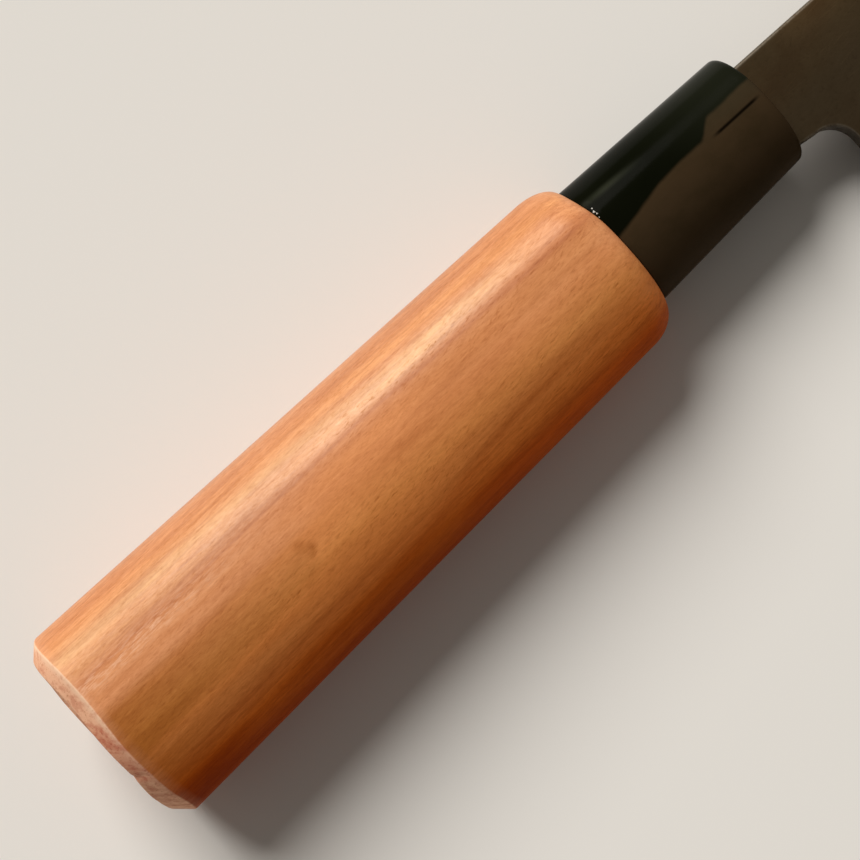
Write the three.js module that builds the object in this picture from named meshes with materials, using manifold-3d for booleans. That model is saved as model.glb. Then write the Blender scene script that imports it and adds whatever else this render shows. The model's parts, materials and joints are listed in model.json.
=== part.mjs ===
// Sabaki knife: a boning knife with a right-handed chestnut-section wooden grip.
// Knife frame while modelling: x runs from the collar mouth to the tip, y towards the spine,
// z out of the right face. At the end the knife is laid on its left side on the ground plane.
import * as THREE from 'three';
import { ConvexHull } from 'three/addons/math/ConvexHull.js';
import { mergeVertices } from 'three/addons/utils/BufferGeometryUtils.js';
import Module from 'manifold-3d';

const wasm = await Module();
wasm.setup();

const DEGREE = Math.PI / 180;

// Grip, in millimetres
const HANDLE_LENGTH = 115;
const BUTT_HEIGHT = 28.9;
const BUTT_THICKNESS = 23.4;
const BUTT_CHAMFER = 2.2;
const SHOULDER_HEIGHT = 24.5;
const SHOULDER_THICKNESS = 19.8;
const SHOULDER_ROUND = 4.6;
const RIDGE_ANGLE = 33 * DEGREE;
const RIDGE_SPREAD = 26 * DEGREE;
const RIDGE_SOFTNESS = 3.5 * DEGREE;
const GRIP_RIDGE = 0.09;

// Collar
const COLLAR_LENGTH = 26.4;
const COLLAR_BACK_HEIGHT = 19;
const COLLAR_BACK_THICKNESS = 15.6;
const COLLAR_FRONT_HEIGHT = 17.1;
const COLLAR_FRONT_THICKNESS = 14.1;
const COLLAR_RISE = 0.5;
const COLLAR_WALL = 1.8;
const COLLAR_ROUND = 0.9;
const COLLAR_RIDGE = 0.04;

// Seats of the collar and the tang
const FIT_GAP = 0.3;
const TENON_WALL = 1.6;
const BEDDING_WALL = 0.6;

// Blade, neck and tang
const STOCK_THICKNESS = 3.4;
const TIP_THICKNESS = 1.5;
const TANG_LENGTH = 78;
const TANG_END_HEIGHT = 4.5;
const TANG_END_THICKNESS = 2.2;
const NECK_ABOVE_AXIS = 6.4;
const NECK_BELOW_AXIS = 6.65;
const NECK_FLARE = 0.45;
const NECK_LENGTH = 6.75;
const NECK_FILLET = 4;
const HEEL_DEPTH = 32;
const BLADE_LENGTH = 150;
const TIP_DEPTH = 15;
const SPINE_SLOPE = 1.8 * DEGREE;
const SPINE_STRAIGHT = 58;
const SPINE_SWEEP = 42;
const SPINE_TIP_REACH = 36;
const SPINE_TIP_ANGLE = 17 * DEGREE;
const EDGE_STRAIGHT = 72;
const EDGE_TIP_REACH = 36;
const EDGE_TIP_ANGLE = 23 * DEGREE;
const EDGE_THICKNESS = 0.3;
const EDGE_OFFSET = 0.35;
const RIGHT_BEVEL = 14;
const LEFT_BEVEL = 9;

// Densities in grams per cubic millimetre, for the way the knife lies
const WOOD_DENSITY = 0.00055;
const PLASTIC_DENSITY = 0.0011;
const BEDDING_DENSITY = 0.0012;
const STEEL_DENSITY = 0.00785;

// Fineness of the facets
const RING_SIDES = 56;
const ROUND_STEPS = 6;
const TAPER_STEPS = 5;
const CURVE_STEPS = 26;

const lerp = THREE.MathUtils.lerp;

// Oval ring at x, swollen along one ray into the soft ridge of the chestnut section
function ovalRing(x, height, thickness, rise, ridge) {
  const ring = [];
  for (let side = 0; side < RING_SIDES; side++) {
    const turn = (side / RING_SIDES) * 2 * Math.PI;
    const fromRidge = Math.min(turn, 2 * Math.PI - turn);
    const swell = 1 + ridge * Math.exp(-Math.hypot(fromRidge, RIDGE_SOFTNESS) / RIDGE_SPREAD);
    const angle = RIDGE_ANGLE + turn;
    const y = rise + (height / 2) * swell * Math.sin(angle);
    const z = (thickness / 2) * swell * Math.cos(angle);
    ring.push(new THREE.Vector3(x, y, z));
  }
  return ring;
}

// Rectangular ring at x, its points on the same rays as those of an oval ring
function boxRing(x, height, thickness, rise) {
  const ring = [];
  for (let side = 0; side < RING_SIDES; side++) {
    const angle = RIDGE_ANGLE + (side / RING_SIDES) * 2 * Math.PI;
    const upward = Math.sin(angle);
    const sideways = Math.cos(angle);
    const reach = 1 / Math.max(Math.abs(upward) / (height / 2), Math.abs(sideways) / (thickness / 2));
    ring.push(new THREE.Vector3(x, rise + reach * upward, reach * sideways));
  }
  return ring;
}

function blendRings(first, second, share) {
  return first.map((point, index) => point.clone().lerp(second[index], share));
}

// Skin over a row of rings, closed by a fan at both ends or joined last to first
function loft(rings, joined) {
  const sides = rings[0].length;
  const points = rings.flat();
  const faces = [];
  const strips = joined ? rings.length : rings.length - 1;
  for (let row = 0; row < strips; row++) {
    const here = row * sides;
    const next = ((row + 1) % rings.length) * sides;
    for (let side = 0; side < sides; side++) {
      const beside = (side + 1) % sides;
      faces.push(here + side, next + side, next + beside);
      faces.push(here + side, next + beside, here + beside);
    }
  }
  if (!joined) {
    const last = (rings.length - 1) * sides;
    const firstCentre = points.length;
    const lastCentre = firstCentre + 1;
    points.push(middleOf(rings[0]), middleOf(rings[rings.length - 1]));
    for (let side = 0; side < sides; side++) {
      const beside = (side + 1) % sides;
      faces.push(firstCentre, side, beside);
      faces.push(lastCentre, last + beside, last + side);
    }
  }
  const geometry = new THREE.BufferGeometry().setFromPoints(points);
  geometry.setIndex(faces);
  return geometry;
}

function middleOf(ring) {
  const sum = new THREE.Vector3();
  ring.forEach((point) => sum.add(point));
  return sum.divideScalar(ring.length);
}

function toSolid(geometry) {
  const bare = geometry.clone();
  bare.deleteAttribute('normal');
  bare.deleteAttribute('uv');
  const merged = mergeVertices(bare);
  const vertProperties = new Float32Array(merged.attributes.position.array);
  const triVerts = new Uint32Array(merged.index.array);
  return new wasm.Manifold(new wasm.Mesh({ numProp: 3, vertProperties, triVerts }));
}

function toGeometry(solid) {
  const mesh = solid.getMesh();
  const geometry = new THREE.BufferGeometry();
  geometry.setAttribute('position', new THREE.BufferAttribute(mesh.vertProperties, mesh.numProp));
  geometry.setIndex(new THREE.BufferAttribute(mesh.triVerts, 1));
  return geometry;
}

// Seats that the pieces share: collar bore, tenon, slot, bedding and tang
const shoulderX = -COLLAR_LENGTH;
const tenonPlay = 2 * (COLLAR_WALL + FIT_GAP);
const slotPlay = 2 * (FIT_GAP + BEDDING_WALL + FIT_GAP);
const slotMouthHeight = COLLAR_FRONT_HEIGHT - tenonPlay - 2 * TENON_WALL;
const tangRootHeight = slotMouthHeight - slotPlay;
const tangEndX = -TANG_LENGTH;
const beddingEndX = tangEndX - FIT_GAP - BEDDING_WALL;
const slotEndX = beddingEndX - FIT_GAP;

// Hole or filling around the tang, larger than it by the play all round
function tangRing(x, play) {
  const share = x / tangEndX;
  const height = lerp(tangRootHeight, TANG_END_HEIGHT, share);
  const thickness = lerp(STOCK_THICKNESS, TANG_END_THICKNESS, share);
  return boxRing(x, height + play, thickness + play, lerp(COLLAR_RISE, 0, share));
}

// Collar section at x, drawn in by the inset all round
function collarRing(x, inset, ridge) {
  const share = (x - shoulderX) / COLLAR_LENGTH;
  const height = lerp(COLLAR_BACK_HEIGHT, COLLAR_FRONT_HEIGHT, share);
  const thickness = lerp(COLLAR_BACK_THICKNESS, COLLAR_FRONT_THICKNESS, share);
  return ovalRing(x, height - 2 * inset, thickness - 2 * inset, COLLAR_RISE, ridge);
}

// Grip: chamfered butt, straight taper, round-over shoulder, tenon, and the slot back inside
function makeGrip() {
  const buttX = -HANDLE_LENGTH;
  const taperStart = buttX + BUTT_CHAMFER;
  const roundStart = shoulderX - SHOULDER_ROUND;
  const rings = [];
  const buttFaceHeight = BUTT_HEIGHT - 2 * BUTT_CHAMFER;
  const buttFaceThickness = BUTT_THICKNESS - 2 * BUTT_CHAMFER;
  rings.push(ovalRing(buttX, buttFaceHeight, buttFaceThickness, 0, GRIP_RIDGE));
  for (let step = 0; step < TAPER_STEPS; step++) {
    rings.push(gripRing(lerp(taperStart, roundStart, step / TAPER_STEPS)));
  }
  const woodRing = gripRing(roundStart);
  const seatRing = collarRing(shoulderX, 0, COLLAR_RIDGE);
  for (let step = 0; step <= ROUND_STEPS; step++) {
    const turn = (step / ROUND_STEPS) * (Math.PI / 2);
    const ring = blendRings(woodRing, seatRing, 1 - Math.cos(turn));
    const x = roundStart + SHOULDER_ROUND * Math.sin(turn);
    rings.push(ring.map((point) => point.setX(x)));
  }
  rings.push(collarRing(shoulderX, COLLAR_WALL + FIT_GAP, 0));
  rings.push(collarRing(0, COLLAR_WALL + FIT_GAP, 0));
  rings.push(tangRing(0, slotPlay));
  rings.push(tangRing(slotEndX, slotPlay));
  return loft(rings, false);

  function gripRing(x) {
    const share = (x - taperStart) / (shoulderX - taperStart);
    const height = lerp(BUTT_HEIGHT, SHOULDER_HEIGHT, share);
    const thickness = lerp(BUTT_THICKNESS, SHOULDER_THICKNESS, share);
    return ovalRing(x, height, thickness, 0, GRIP_RIDGE);
  }
}

// Collar: tapered ring over the tenon with a rounded front edge
function makeCollar() {
  const backX = shoulderX + FIT_GAP;
  const rings = [collarRing(backX, COLLAR_WALL, 0), collarRing(backX, 0, COLLAR_RIDGE)];
  for (let step = 0; step <= ROUND_STEPS; step++) {
    const turn = (step / ROUND_STEPS) * (Math.PI / 2);
    const x = COLLAR_ROUND * (Math.sin(turn) - 1);
    rings.push(collarRing(x, COLLAR_ROUND * (1 - Math.cos(turn)), COLLAR_RIDGE));
  }
  rings.push(collarRing(0, COLLAR_WALL, 0));
  return loft(rings, true);
}

// Bedding: a thin cup in the slot, with the tang inside it
function makeBedding() {
  const outerPlay = slotPlay - 2 * FIT_GAP;
  const innerPlay = 2 * FIT_GAP;
  return loft([
    tangRing(beddingEndX, outerPlay),
    tangRing(0, outerPlay),
    tangRing(0, innerPlay),
    tangRing(tangEndX - FIT_GAP, innerPlay),
  ], false);
}

// Blade: a bar with ground bevels, cut to the outline of tang, neck, heel, edge and spine
const heel = new THREE.Vector2(NECK_LENGTH, -HEEL_DEPTH);
const tip = new THREE.Vector2(NECK_LENGTH + BLADE_LENGTH, -TIP_DEPTH);
const edgeCurve = new THREE.CubicBezierCurve(
  heel,
  new THREE.Vector2(heel.x + EDGE_STRAIGHT, heel.y),
  fromTip(EDGE_TIP_REACH, -EDGE_TIP_ANGLE),
  tip,
);

function fromTip(reach, angle) {
  return new THREE.Vector2(tip.x - reach * Math.cos(angle), tip.y + reach * Math.sin(angle));
}

function spineHeight(x) {
  return NECK_ABOVE_AXIS - x * Math.tan(SPINE_SLOPE);
}

function makeOutline() {
  const rootX = FIT_GAP;
  const filletX = NECK_LENGTH - NECK_FILLET;
  const filletY = -NECK_BELOW_AXIS - NECK_FLARE;
  const spineEnd = new THREE.Vector2(SPINE_STRAIGHT, spineHeight(SPINE_STRAIGHT));
  const spineLead = SPINE_STRAIGHT + SPINE_SWEEP;
  const spineTip = fromTip(SPINE_TIP_REACH, SPINE_TIP_ANGLE);
  const outline = new THREE.Shape();
  outline.moveTo(tangEndX, -TANG_END_HEIGHT / 2);
  outline.lineTo(rootX, COLLAR_RISE - tangRootHeight / 2);
  outline.lineTo(rootX, -NECK_BELOW_AXIS);
  outline.lineTo(filletX, filletY);
  outline.absarc(filletX, filletY - NECK_FILLET, NECK_FILLET, Math.PI / 2, 0, true);
  outline.lineTo(heel.x, heel.y);
  outline.bezierCurveTo(edgeCurve.v1.x, edgeCurve.v1.y, edgeCurve.v2.x, edgeCurve.v2.y, tip.x, tip.y);
  outline.bezierCurveTo(
    spineTip.x, spineTip.y, spineLead, spineHeight(spineLead), spineEnd.x, spineEnd.y,
  );
  outline.lineTo(rootX, spineHeight(rootX));
  outline.lineTo(rootX, COLLAR_RISE + tangRootHeight / 2);
  outline.lineTo(tangEndX, TANG_END_HEIGHT / 2);
  return outline;
}

// Section of the ground bar at x above the edge height given
function barRing(x, edgeY, thickness) {
  const half = thickness / 2;
  const spineY = NECK_ABOVE_AXIS + STOCK_THICKNESS;
  const rightSlope = (half + EDGE_OFFSET - EDGE_THICKNESS / 2) / RIGHT_BEVEL;
  const leftSlope = (half - EDGE_OFFSET - EDGE_THICKNESS / 2) / LEFT_BEVEL;
  const trim = EDGE_THICKNESS;
  const rightEdge = -EDGE_OFFSET + EDGE_THICKNESS / 2 - trim * rightSlope;
  const leftEdge = -EDGE_OFFSET - EDGE_THICKNESS / 2 + trim * leftSlope;
  return [
    new THREE.Vector3(x, spineY, half),
    new THREE.Vector3(x, spineY, -half),
    new THREE.Vector3(x, edgeY + LEFT_BEVEL, -half),
    new THREE.Vector3(x, edgeY - trim, leftEdge),
    new THREE.Vector3(x, edgeY - trim, rightEdge),
    new THREE.Vector3(x, edgeY + RIGHT_BEVEL, half),
  ];
}

function makeBlade() {
  const margin = STOCK_THICKNESS;
  const rings = [
    barRing(tangEndX - margin, heel.y, TANG_END_THICKNESS),
    barRing(0, heel.y, STOCK_THICKNESS),
  ];
  for (const point of edgeCurve.getPoints(CURVE_STEPS)) {
    rings.push(barRing(point.x, point.y, lerp(STOCK_THICKNESS, TIP_THICKNESS, point.x / tip.x)));
  }
  rings.push(barRing(tip.x + margin, tip.y, TIP_THICKNESS));
  const bar = toSolid(loft(rings, false));
  const depth = 2 * STOCK_THICKNESS;
  const plate = new THREE.ExtrudeGeometry(makeOutline(), {
    depth,
    curveSegments: CURVE_STEPS,
    bevelEnabled: false,
  });
  plate.translate(0, 0, -depth / 2);
  return toGeometry(bar.intersect(toSolid(plate)));
}

function makeMesh(name, geometry, density, look) {
  const mesh = new THREE.Mesh(geometry, new THREE.MeshStandardMaterial(look));
  mesh.name = name;
  mesh.userData.density = density;
  return mesh;
}

const knife = new THREE.Group();
knife.add(
  makeMesh('grip', makeGrip(), WOOD_DENSITY, { color: 0xc88250, roughness: 0.55, metalness: 0 }),
  makeMesh('collar', makeCollar(), PLASTIC_DENSITY, { color: 0x14140f, roughness: 0.3, metalness: 0 }),
  makeMesh('tang_bedding', makeBedding(), BEDDING_DENSITY, { color: 0xb9a98a, roughness: 0.7, metalness: 0 }),
  makeMesh('blade', makeBlade(), STEEL_DENSITY, { color: 0x34281b, roughness: 0.45, metalness: 0.8 }),
);

// Balance point of the whole knife, from the tetrahedra between the origin and each face
function balancePoint() {
  const moment = new THREE.Vector3();
  let mass = 0;
  for (const mesh of knife.children) {
    const points = mesh.geometry.attributes.position;
    const corners = mesh.geometry.index;
    const [a, b, c] = [new THREE.Vector3(), new THREE.Vector3(), new THREE.Vector3()];
    for (let corner = 0; corner < corners.count; corner += 3) {
      a.fromBufferAttribute(points, corners.getX(corner));
      b.fromBufferAttribute(points, corners.getX(corner + 1));
      c.fromBufferAttribute(points, corners.getX(corner + 2));
      const share = (mesh.userData.density * a.dot(b.clone().cross(c))) / 6;
      mass += share;
      moment.addScaledVector(a.add(b).add(c), share / 4);
    }
  }
  return moment.divideScalar(mass);
}

// Upward direction of the ground: the knife lies on its left, on the facet of its hull that is
// under the balance point and nearest to it
function groundUp() {
  const balance = balancePoint();
  const facets = new ConvexHull().setFromObject(knife).faces.filter((facet) => {
    const edge = facet.edge;
    const corners = [edge.tail().point, edge.head().point, edge.next.head().point];
    return facet.normal.z < 0 && new THREE.Triangle(...corners).containsPoint(balance);
  });
  const heightOver = (facet) => -facet.distanceToPoint(balance);
  facets.sort((first, second) => heightOver(first) - heightOver(second));
  return facets[0].normal.clone().negate();
}

// Lay the knife down: ground at z = 0, handle axis along x, box centred on the origin
const up = groundUp();
const sideways = up.clone().cross(new THREE.Vector3(1, 0, 0)).normalize();
const forward = sideways.clone().cross(up);
knife.quaternion.setFromRotationMatrix(new THREE.Matrix4().makeBasis(forward, sideways, up).transpose());
knife.updateMatrixWorld(true);
const box = new THREE.Box3().setFromObject(knife, true);
const centre = box.getCenter(new THREE.Vector3());
knife.position.set(-centre.x, -centre.y, -box.min.z);

const sabakiKnife = new THREE.Group();
sabakiKnife.add(knife);

export default sabakiKnife;
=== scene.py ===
import json

import bpy
import numpy as np
from mathutils import Matrix


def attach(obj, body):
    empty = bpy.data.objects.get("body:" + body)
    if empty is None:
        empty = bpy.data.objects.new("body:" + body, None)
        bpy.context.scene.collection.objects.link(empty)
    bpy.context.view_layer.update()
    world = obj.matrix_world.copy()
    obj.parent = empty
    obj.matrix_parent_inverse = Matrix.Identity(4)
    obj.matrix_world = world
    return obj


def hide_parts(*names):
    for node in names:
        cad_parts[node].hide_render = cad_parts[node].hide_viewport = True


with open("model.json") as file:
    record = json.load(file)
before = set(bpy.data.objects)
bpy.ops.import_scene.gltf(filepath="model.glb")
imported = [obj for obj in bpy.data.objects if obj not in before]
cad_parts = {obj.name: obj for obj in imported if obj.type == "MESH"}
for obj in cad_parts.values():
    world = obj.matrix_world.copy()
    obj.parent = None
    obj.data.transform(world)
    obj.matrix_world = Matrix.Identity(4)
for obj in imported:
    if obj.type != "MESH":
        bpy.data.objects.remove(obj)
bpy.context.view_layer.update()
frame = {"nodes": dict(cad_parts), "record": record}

# Grip
# A one-hand grip of orange-tan wood, turned to a taper and planed to a chestnut section: an oval with one
# soft ridge on the right side. The butt is cut a little askew and chamfered by hand, the shoulder rounded
# over and sanded back towards the spine. The tenon carries the collar, and the slot takes the tang.
HANDLE_LENGTH = 115.0
BUTT_HEIGHT = 28.9
BUTT_THICKNESS = 23.4
BUTT_FACE_POINT = np.array([-HANDLE_LENGTH, 0.143, 0.171])
BUTT_FACE_SHARES = (0.15, 0.4, 0.65, 0.88)
BUTT_SKEW = 0.48
SKEW_RANGE = (0.35, 0.80)
BUTT_CHAMFER = 2.2
CHAMFER_WANDER = 0.38
CHAMFER_LOBES = 4
CHAMFER_LOBE_AT = np.radians(27)
CORNER_EASE = 0.22
CORNER_STEPS = 5
CHIP_AT = np.radians(-27)
CHIP_WIDTH = np.radians(2.2)
CHIP_DEPTH = 0.25
LEAN_AT = np.radians(30)
LEAN_WIDTH = np.radians(22)
LEAN_DEPTH = 0.42
TAPER_FROM = 3.6
TAPER_ROWS = 48
SHOULDER_HEIGHT = 24.5
SHOULDER_THICKNESS = 19.8
SHOULDER_ROUND = 4.6
SHOULDER_ROWS = 22
SHOULDER_DIP = 0.6
DIP_RANGE = (0.25, 0.92)
RIDGE_ANGLE = np.radians(33)
RIDGE_SPREAD = np.radians(26)
RIDGE_SOFTNESS = np.radians(3.5)
RIDGE_UPPER_SOFTNESS = np.radians(25)
RIDGE_TWIST = np.radians(2.4)
GRIP_RIDGE = 0.09
COLLAR_LENGTH = 26.4
COLLAR_BACK = (19.0, 15.6)
COLLAR_FRONT = (17.1, 14.1)
COLLAR_RISE = 0.5
COLLAR_WALL = 1.8
COLLAR_RIDGE = 0.04
FIT_GAP = 0.3
SLOT_MOUTH = (9.7, 5.8)
SLOT_END = (6.9, 4.6)
SLOT_END_X = -79.2
SIDES = 320
GRIP_CREASE = 30
END_GRAIN_FADE = (0.6, 0.2)
SHOULDER_END_GRAIN = 0.15
RIM_SHARES = (0.9, 1, 1, 0.7)

mounts = {mount["name"]: mount for mount in frame["record"]["mounts"]}
to_tip = -np.array(mounts["butt_face"]["axis"])
to_tip /= np.linalg.norm(to_tip)
out_right = np.array(mounts["blade_right_flat"]["axis"]) - np.array(mounts["blade_left_flat"]["axis"])
to_spine = np.cross(out_right, to_tip)
to_spine /= np.linalg.norm(to_spine)
knife_axes = np.array([to_tip, to_spine, np.cross(to_tip, to_spine)])
collar_mouth = np.array(mounts["butt_face"]["pos_m"]) * 1000 - BUTT_FACE_POINT @ knife_axes
shoulder_x = -COLLAR_LENGTH
taper_start = BUTT_CHAMFER - HANDLE_LENGTH
turn = np.linspace(0, 2 * np.pi, SIDES, endpoint=False)
angle = RIDGE_ANGLE + turn


def lay_down(places):
    """Knife places in millimetres carried to the row frame in metres: the middle of the collar's mouth
    plus each coordinate times its axis, which runs to the tip, to the spine and out of the right face."""
    return (collar_mouth + places @ knife_axes) / 1000


def oval_rings(x, height, thickness, rise, ridge):
    """Rings of a chestnut section: an oval about the rise whose radius swells along the ridge's ray by
    the ridge's share, falling off as the exponential of the angle from that ray. The crest is rounded
    over its softness, more on the side towards the spine, and its ray twists a little along the grip."""
    twist = np.interp(x, (taper_start, shoulder_x), (RIDGE_TWIST, -RIDGE_TWIST))
    from_ridge = np.angle(np.exp(1j * (turn - twist)))
    softness = np.where(from_ridge > 0, RIDGE_UPPER_SOFTNESS, RIDGE_SOFTNESS)
    fall = np.hypot(from_ridge, softness) - softness + RIDGE_SOFTNESS
    swell = 1 + ridge * np.exp(-fall / RIDGE_SPREAD)
    y = rise + height / 2 * swell * np.sin(angle)
    z = thickness / 2 * swell * np.cos(angle)
    return np.stack(np.broadcast_arrays(x, y, z), -1)


def box_rings(x, size, rise):
    """A rectangular ring at x, each point where the ray at the oval's angle leaves the rectangle."""
    across, out = np.sin(angle), np.cos(angle)
    reach = 1 / np.maximum(np.abs(across) / (size[0] / 2), np.abs(out) / (size[1] / 2))
    return np.stack(np.broadcast_arrays(x, rise + reach * across, reach * out), -1)[None]


def collar_rings(x, inset, ridge):
    """Collar sections: the straight taper from its back size to its front size, drawn in by the inset."""
    share = (x - shoulder_x) / COLLAR_LENGTH
    height = COLLAR_BACK[0] + (COLLAR_FRONT[0] - COLLAR_BACK[0]) * share - 2 * inset
    thickness = COLLAR_BACK[1] + (COLLAR_FRONT[1] - COLLAR_BACK[1]) * share - 2 * inset
    return oval_rings(x, height, thickness, COLLAR_RISE, ridge)


def grip_rings(x, inset):
    """Grip sections: the straight taper from the butt's size to the shoulder's, drawn in by the inset."""
    share = (x - taper_start) / (shoulder_x - taper_start)
    height = BUTT_HEIGHT + (SHOULDER_HEIGHT - BUTT_HEIGHT) * share - 2 * inset
    thickness = BUTT_THICKNESS + (SHOULDER_THICKNESS - BUTT_THICKNESS) * share - 2 * inset
    return oval_rings(x, height, thickness, 0, GRIP_RIDGE)


def smooth(values, low, high):
    """A smooth step on an array: 0 up to low, 1 from high on, and three squares less two cubes between."""
    share = np.clip((values - low) / (high - low), 0, 1)
    return share**2 * (3 - 2 * share)


def eased_corner(before, corner, after):
    """The curve that eases a corner: a quadratic from the point before it to the one after it, pulled
    towards the corner itself."""
    share = np.linspace(0, 1, CORNER_STEPS)[:, None]
    return (1 - share) ** 2 * before + 2 * share * (1 - share) * corner + share**2 * after


def skin(name, rings, joined, crease):
    """A mesh over rows of rings: each quad joins two neighbours on a ring to the same two on the next
    row. The ends are fans to the middle of the end rings, or the last row joins the first."""
    rows, sides = rings.shape[:2]
    index = np.arange(rows * sides).reshape(rows, sides)
    strips = np.vstack([index, index[:1]]) if joined else index
    here, ahead = strips[:-1], strips[1:]
    quads = np.stack([here, ahead, np.roll(ahead, -1, 1), np.roll(here, -1, 1)], -1)
    faces = quads.reshape(-1, 4).tolist()
    points = rings.reshape(-1, 3)
    if not joined:
        points = np.vstack([points, rings[0].mean(0), rings[-1].mean(0)])
        first = np.full(sides, rows * sides)
        faces += np.stack([first, index[0], np.roll(index[0], -1)], -1).tolist()
        faces += np.stack([first + 1, np.roll(index[-1], -1), index[-1]], -1).tolist()
    mesh = bpy.data.meshes.new(name)
    mesh.from_pydata(lay_down(points).tolist(), [], faces)
    place = mesh.attributes.new("knife_place", "FLOAT_VECTOR", "POINT")
    place.data.foreach_set("vector", points.astype(np.float32).ravel())
    mesh.shade_smooth()
    mesh.set_sharp_from_angle(angle=np.radians(crease))
    piece = bpy.data.objects.new(name, mesh)
    bpy.context.scene.collection.objects.link(piece)
    return piece


def mark(piece, name, values):
    """Keeps one number for each point of a piece, ring by ring, with the first and the last row's numbers
    for the middles of the two end fans."""
    flat = np.append(values.ravel(), [values[0, 0], values[-1, 0]])[: len(piece.data.vertices)]
    kept_values = piece.data.attributes.new(name, "FLOAT", "POINT")
    kept_values.data.foreach_set("value", flat.astype(np.float32))


chamfer = BUTT_CHAMFER + CHAMFER_WANDER * np.cos(CHAMFER_LOBES * (angle - CHAMFER_LOBE_AT))
from_chip = np.angle(np.exp(1j * (angle - CHIP_AT)))
from_lean = np.angle(np.exp(1j * (angle - LEAN_AT)))
butt_dip = CHIP_DEPTH * np.exp(-((from_chip / CHIP_WIDTH) ** 2))
butt_dip += LEAN_DEPTH * np.exp(-((from_lean / LEAN_WIDTH) ** 2))
butt_skew = BUTT_SKEW * smooth(-np.sin(angle), *SKEW_RANGE)
face_shares = np.array(BUTT_FACE_SHARES)[:, None]
face_height = (BUTT_HEIGHT - 2 * BUTT_CHAMFER) * face_shares
face_thickness = (BUTT_THICKNESS - 2 * BUTT_CHAMFER) * face_shares
face_x = -HANDLE_LENGTH - butt_skew * face_shares
butt_face = oval_rings(face_x, face_height, face_thickness, 0, GRIP_RIDGE)
slant = CORNER_EASE / np.sqrt(2)
no_inset = np.zeros(SIDES)
inner_x = eased_corner(butt_dip, butt_dip, slant + butt_dip)
inner_inset = eased_corner(chamfer + CORNER_EASE, chamfer, chamfer - slant)
outer_x = eased_corner(chamfer - slant, chamfer, chamfer + CORNER_EASE)
outer_inset = eased_corner(no_inset + slant, no_inset, no_inset)
butt_edge_x = np.vstack([inner_x, outer_x]) - HANDLE_LENGTH - butt_skew
butt_edge = grip_rings(butt_edge_x, np.vstack([inner_inset, outer_inset]))
seam_x = shoulder_x - SHOULDER_DIP * smooth(np.sin(angle), *DIP_RANGE)
round_start = 2 * seam_x - shoulder_x - SHOULDER_ROUND
taper_from = np.full(SIDES, TAPER_FROM - HANDLE_LENGTH)
taper_side = grip_rings(np.linspace(taper_from, round_start, TAPER_ROWS), 0)
round_turn = np.linspace(0, np.pi / 2, SHOULDER_ROWS)[1:, None, None]
seat = collar_rings(seam_x[None], 0, COLLAR_RIDGE)
shoulder = taper_side[-1:] + (seat - taper_side[-1:]) * (1 - np.cos(round_turn))
shoulder[..., 0] = round_start + (seam_x - round_start) * np.sin(round_turn[..., 0])
tenon = collar_rings(np.stack([seam_x, np.zeros(SIDES)]), COLLAR_WALL + FIT_GAP, 0)
slot = np.vstack([box_rings(0.0, SLOT_MOUTH, COLLAR_RISE), box_rings(SLOT_END_X, SLOT_END, 0.0)])
grip_rows = [butt_face, butt_edge, taper_side, shoulder, tenon, slot]
grip = skin("turned_grip", np.vstack(grip_rows), False, GRIP_CREASE)
end_shares = np.concatenate([
    np.ones(len(butt_face) + len(butt_edge) - len(END_GRAIN_FADE)),
    END_GRAIN_FADE,
    np.zeros(len(taper_side)),
    np.linspace(0, SHOULDER_END_GRAIN, len(shoulder)),
    np.ones(len(tenon) + len(slot)),
])
rim_shares = np.zeros(len(end_shares))
rim_from = len(butt_face) + CORNER_STEPS
rim_shares[rim_from : rim_from + len(RIM_SHARES)] = RIM_SHARES
mark(grip, "end_grain", np.repeat(end_shares[:, None], SIDES, 1))
mark(grip, "butt_rim", np.repeat(rim_shares[:, None], SIDES, 1))


def node(tree, kind, inputs, **settings):
    """Adds a node with its settings. Each input is given by name or number: a socket is linked to it,
    and anything else becomes its fixed value."""
    made = tree.nodes.new(kind)
    for name, value in settings.items():
        setattr(made, name, value)
    for key, value in inputs.items():
        if isinstance(value, bpy.types.NodeSocket):
            tree.links.new(value, made.inputs[key])
        else:
            made.inputs[key].default_value = value
    return made


def reckon(tree, operation, *values):
    """One sum on values or sockets."""
    return node(tree, "ShaderNodeMath", dict(enumerate(values)), operation=operation).outputs[0]


def product(tree, first, *others):
    """All of the values multiplied together."""
    for other in others:
        first = reckon(tree, "MULTIPLY", first, other)
    return first


def scaled(tree, value, factor, added):
    """The value times the factor, plus what is added."""
    return reckon(tree, "MULTIPLY_ADD", value, factor, added)


def noise(tree, vector, scale, detail, roughness):
    """Soft noise about one half, after the vector is stretched by the scale in its three directions."""
    stretched = node(tree, "ShaderNodeMapping", {"Vector": vector, "Scale": scale})
    inputs = {"Vector": stretched.outputs[0], "Scale": 1.0, "Detail": detail, "Roughness": roughness}
    return node(tree, "ShaderNodeTexNoise", inputs).outputs["Fac"]


def step(tree, value, low, high):
    """A smooth step: 0 up to low, 1 from high on; the other way round when low is the larger."""
    inputs = {"Value": value, "From Min": low, "From Max": high}
    return node(tree, "ShaderNodeMapRange", inputs, interpolation_type="SMOOTHSTEP").outputs["Result"]


def stripe(tree, value, low, high, soft):
    """1 between low and high, fading to 0 over the soft width on both sides."""
    rise = step(tree, value, low - soft, low + soft)
    return reckon(tree, "MULTIPLY", rise, step(tree, value, high + soft, high - soft))


def taper(tree, value, ends, results):
    """The straight line through two values and their results, carried on past both ends."""
    inputs = {"Value": value, "From Min": ends[0], "From Max": ends[1]}
    inputs |= {"To Min": results[0], "To Max": results[1]}
    return node(tree, "ShaderNodeMapRange", inputs, clamp=False).outputs["Result"]


def between(tree, share, first, last):
    """The value that runs from the first to the last as the share goes from 0 to 1."""
    return taper(tree, share, (0, 1), (first, last))


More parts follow.
